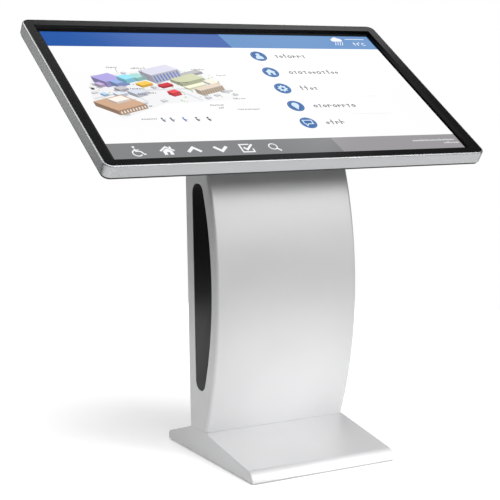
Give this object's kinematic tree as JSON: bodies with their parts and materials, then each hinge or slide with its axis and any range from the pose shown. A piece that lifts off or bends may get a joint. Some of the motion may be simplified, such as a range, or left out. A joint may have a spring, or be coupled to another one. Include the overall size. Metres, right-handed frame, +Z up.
{
  "type": "touchscreen kiosk",
  "caption": "Free-standing kiosk with a large touch display leaning back like a desk, on a slim bowed pedestal and a low wedge base, with a rear service door.",
  "frame": {"origin": "on the floor under the middle of the base, on the axis of the floor anchor pattern", "axes": "+Z up; the visitor stands at -Y and faces +Y; +X is to the visitor's right"},
  "size_m": [0.994, 0.5787, 1.0139],
  "materials": {
    "silver_powder": "satin powder coat, fine texture",
    "satin_aluminium": "bead-blasted and anodised, satin",
    "black_gloss": "gloss",
    "dark_powder": "matt powder coat, fine texture",
    "screen_glass": "polished",
    "black_plastic": "moulded, fine spark texture",
    "grey_plastic": "extruded",
    "board_green": "solder mask",
    "cable_rubber": "matt",
    "zinc_steel": "zinc plated",
    "screw_steel": "bright",
    "hinge_chrome": "bright",
    "equipment_aluminium": "anodised dark grey"
  },
  "bodies": {
    "root": {"back_frame": "silver_powder", "base_cover": "silver_powder", "base_cover_screws": "screw_steel", "base_plate": "zinc_steel", "cover_glass": "screen_glass", "driver_board": "board_green", "equipment_plate": "zinc_steel", "fan_frame_left": "black_plastic", "fan_frame_right": "black_plastic", "fan_guard_left": "screw_steel", "fan_guard_right": "screw_steel", "fan_screws": "screw_steel", "flange_bolts": "zinc_steel", "foot_lock_nuts": "zinc_steel", "frame_hinge_leaves": "hinge_chrome", "front_bezel": "black_gloss", "front_panel": "silver_powder", "head_beams": "zinc_steel", "head_cable": "cable_rubber", "head_frame": "satin_aluminium", "hinge_pins": "hinge_chrome", "housing_screws": "screw_steel", "inlet_screws": "screw_steel", "lcd_panel": "black_plastic", "lock_strike": "zinc_steel", "lower_tie": "zinc_steel", "media_player": "equipment_aluminium", "neck_bolts": "zinc_steel", "neck_box": "zinc_steel", "neck_grommet": "cable_rubber", "neck_plate": "zinc_steel", "panel_rail_left": "zinc_steel", "panel_rail_right": "zinc_steel", "power_inlet": "black_plastic", "power_supply": "equipment_aluminium", "rear_cover": "dark_powder", "rear_cover_screws": "screw_steel", "rear_housing": "dark_powder", "side_insert_left": "black_gloss", "side_insert_right": "black_gloss", "side_panel_left": "silver_powder", "side_panel_right": "silver_powder", "speaker_left": "black_plastic", "speaker_right": "black_plastic", "switch_housing": "black_plastic", "touch_frame": "black_plastic", "upright_left": "zinc_steel", "upright_right": "zinc_steel", "wiring_duct": "grey_plastic"},
    "door": {"service_door": "silver_powder", "door_hinge_leaves": "hinge_chrome", "lock_body": "hinge_chrome"},
    "lock": {"lock_plug": "hinge_chrome"},
    "rocker": {"power_rocker": "black_plastic"},
    "fan_left": {"fan_rotor_left": "black_plastic"},
    "fan_right": {"fan_rotor_right": "black_plastic"},
    "foot_front_left": {"levelling_foot_front_left": "zinc_steel"},
    "foot_front_right": {"levelling_foot_front_right": "zinc_steel"},
    "foot_rear_left": {"levelling_foot_rear_left": "zinc_steel"},
    "foot_rear_right": {"levelling_foot_rear_right": "zinc_steel"}
  },
  "joints": [
    {"name": "door_hinge", "type": "hinge", "parent": "root", "child": "door", "pos_m": [-0.152, 0.094, 0.06181], "axis": [0, 0.0384, 0.9993], "range_deg": [0, 110]},
    {"name": "lock_turn", "type": "hinge", "parent": "door", "child": "lock", "pos_m": [0.133, 0.10282, 0.42174], "axis": [0, 0.9993, -0.0384], "range_deg": [0, 90]},
    {"name": "power_switch", "type": "hinge", "parent": "root", "child": "rocker", "pos_m": [0.028, 0.091, 0.11396], "axis": [1, 0, 0], "range_deg": [-18, 0]},
    {"name": "fan_left_spin", "type": "hinge", "parent": "root", "child": "fan_left", "pos_m": [-0.13, 0.21255, 0.83574], "axis": [0, -0.5373, 0.8434], "continuous": true},
    {"name": "fan_right_spin", "type": "hinge", "parent": "root", "child": "fan_right", "pos_m": [0.13, 0.21255, 0.83574], "axis": [0, -0.5373, 0.8434], "continuous": true},
    {"name": "level_front_left", "type": "slide", "parent": "root", "child": "foot_front_left", "axis": [0, 0, -1], "range_m": [0, 0.01]},
    {"name": "level_front_right", "type": "slide", "parent": "root", "child": "foot_front_right", "axis": [0, 0, -1], "range_m": [0, 0.01]},
    {"name": "level_rear_left", "type": "slide", "parent": "root", "child": "foot_rear_left", "axis": [0, 0, -1], "range_m": [0, 0.01]},
    {"name": "level_rear_right", "type": "slide", "parent": "root", "child": "foot_rear_right", "axis": [0, 0, -1], "range_m": [0, 0.01]}
  ]
}
